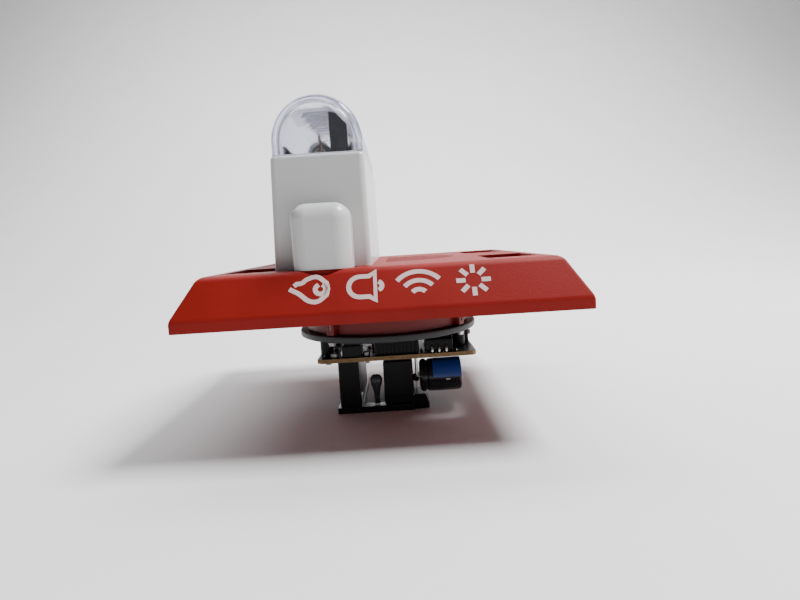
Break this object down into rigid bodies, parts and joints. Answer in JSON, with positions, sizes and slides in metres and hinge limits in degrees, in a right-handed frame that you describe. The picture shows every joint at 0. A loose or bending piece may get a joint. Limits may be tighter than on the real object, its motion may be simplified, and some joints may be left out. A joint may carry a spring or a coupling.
{
  "type": "wall fire alarm horn strobe",
  "caption": "Wall fire alarm horn strobe: square red cover with a white light tower and clear lens, and a horn, boards and wiring terminals behind.",
  "frame": {"origin": "centre of the cover's rim, on the plane where it meets the wall", "axes": "+Z out of the wall towards the lens, -X up the wall (the light tower's side), Y level along the wall and along the light tower"},
  "size_m": [0.127, 0.127, 0.1134],
  "materials": {
    "red_plastic": "moulded red plastic with a fine texture, satin",
    "white_plastic": "smooth white plastic, glossy",
    "clear_lens": "clear polycarbonate with a faint lilac tint in its edges",
    "seal_rubber": "pale silicone",
    "mirror_metal": "bright metallised plastic",
    "tube_glass": "thin glass",
    "steel": "bright plated steel",
    "dark_wire": "dark sleeved wire",
    "red_wire": "red sleeved wire",
    "tinned_wire": "tinned wire, dull",
    "black_plastic": "black moulded plastic, satin",
    "black_rubber": "black rubber",
    "grey_plastic": "dark grey moulded plastic",
    "diaphragm_metal": "thin spun aluminium",
    "core_iron": "soft iron",
    "copper": "enamelled copper wire",
    "brass": "plain brass",
    "board_laminate": "dark solder mask on a tan laminate",
    "black_board": "black board",
    "can_sleeve": "black shrink sleeve on an aluminium can",
    "blue_label": "plain blue printed band",
    "dipped_resin": "dark dipped resin",
    "small_part_mix": "tan ceramic bodies with tinned ends",
    "brown_plastic": "brown moulded plastic"
  },
  "bodies": {
    "housing": {"cover": "red_plastic", "horn_barrel": "red_plastic", "strobe_housing": "white_plastic", "housing_screws": "steel", "lens_gasket": "seal_rubber", "strobe_lens": "clear_lens", "strobe_reflector": "mirror_metal", "flash_tube": "tube_glass", "tube_caps": "steel", "trigger_wire": "tinned_wire", "tube_holders": "grey_plastic", "tube_leads": "tinned_wire", "light_baffle": "black_plastic", "diaphragm_surround": "black_rubber", "horn_core": "core_iron", "horn_bobbin": "black_plastic", "horn_coil": "copper", "horn_leads": "red_wire", "horn_back_plate": "grey_plastic", "plate_screws": "steel", "board_standoffs": "black_plastic", "board_screws": "steel", "main_board": "board_laminate", "trigger_transformer": "black_plastic", "board_header": "black_plastic", "switching_transistor": "steel", "control_chip": "black_plastic", "lead_connector": "black_plastic", "strobe_leads": "dark_wire", "selector_body": "black_plastic", "small_parts": "small_part_mix", "strobe_capacitor": "can_sleeve", "capacitor_label": "blue_label", "capacitor_leads": "tinned_wire", "potted_transformer": "black_plastic", "transformer_pins": "tinned_wire", "dipped_capacitor": "dipped_resin", "upright_diode": "tinned_wire", "wiring_board": "black_board", "link_header": "black_plastic", "terminal_block": "black_plastic", "current_bars": "brass"},
    "horn_diaphragm": {"horn_diaphragm": "diaphragm_metal"},
    "selector_slider": {"selector_slider": "brown_plastic"},
    "terminal_screw_1": {"terminal_screw_1": "steel"},
    "clamp_cage_1": {"clamp_cage_1": "steel"},
    "terminal_screw_2": {"terminal_screw_2": "steel"},
    "clamp_cage_2": {"clamp_cage_2": "steel"},
    "terminal_screw_3": {"terminal_screw_3": "steel"},
    "clamp_cage_3": {"clamp_cage_3": "steel"},
    "terminal_screw_4": {"terminal_screw_4": "steel"},
    "clamp_cage_4": {"clamp_cage_4": "steel"}
  },
  "joints": [
    {"name": "diaphragm_travel", "type": "slide", "parent": "housing", "child": "horn_diaphragm", "axis": [0, 0, 1], "range_m": [-0.0003, 0.0003], "stiffness_N_per_m": 3000},
    {"name": "selector_travel", "type": "slide", "parent": "housing", "child": "selector_slider", "axis": [0, 1, 0], "range_m": [-0.002, 0.002]},
    {"name": "terminal_screw_turn_1", "type": "hinge", "parent": "housing", "child": "terminal_screw_1", "pos_m": [-0.0157, -0.0134, -0.0384], "axis": [0, 0, 1], "range_deg": [0, 2160]},
    {"name": "clamp_rise_1", "type": "slide", "parent": "housing", "child": "clamp_cage_1", "axis": [0, 0, -1], "range_m": [0, 0.003]},
    {"name": "terminal_screw_turn_2", "type": "hinge", "parent": "housing", "child": "terminal_screw_2", "pos_m": [-0.0157, -0.0038, -0.0384], "axis": [0, 0, 1], "range_deg": [0, 2160]},
    {"name": "clamp_rise_2", "type": "slide", "parent": "housing", "child": "clamp_cage_2", "axis": [0, 0, -1], "range_m": [0, 0.003]},
    {"name": "terminal_screw_turn_3", "type": "hinge", "parent": "housing", "child": "terminal_screw_3", "pos_m": [-0.0157, 0.0058, -0.0384], "axis": [0, 0, 1], "range_deg": [0, 2160]},
    {"name": "clamp_rise_3", "type": "slide", "parent": "housing", "child": "clamp_cage_3", "axis": [0, 0, -1], "range_m": [0, 0.003]},
    {"name": "terminal_screw_turn_4", "type": "hinge", "parent": "housing", "child": "terminal_screw_4", "pos_m": [-0.0157, 0.0154, -0.0384], "axis": [0, 0, 1], "range_deg": [0, 2160]},
    {"name": "clamp_rise_4", "type": "slide", "parent": "housing", "child": "clamp_cage_4", "axis": [0, 0, -1], "range_m": [0, 0.003]}
  ],
  "couplings": [
    {"joint": "terminal_screw_turn_1", "follows": "clamp_rise_1", "rad_per_m": 12566},
    {"joint": "terminal_screw_turn_2", "follows": "clamp_rise_2", "rad_per_m": 12566},
    {"joint": "terminal_screw_turn_3", "follows": "clamp_rise_3", "rad_per_m": 12566},
    {"joint": "terminal_screw_turn_4", "follows": "clamp_rise_4", "rad_per_m": 12566}
  ]
}
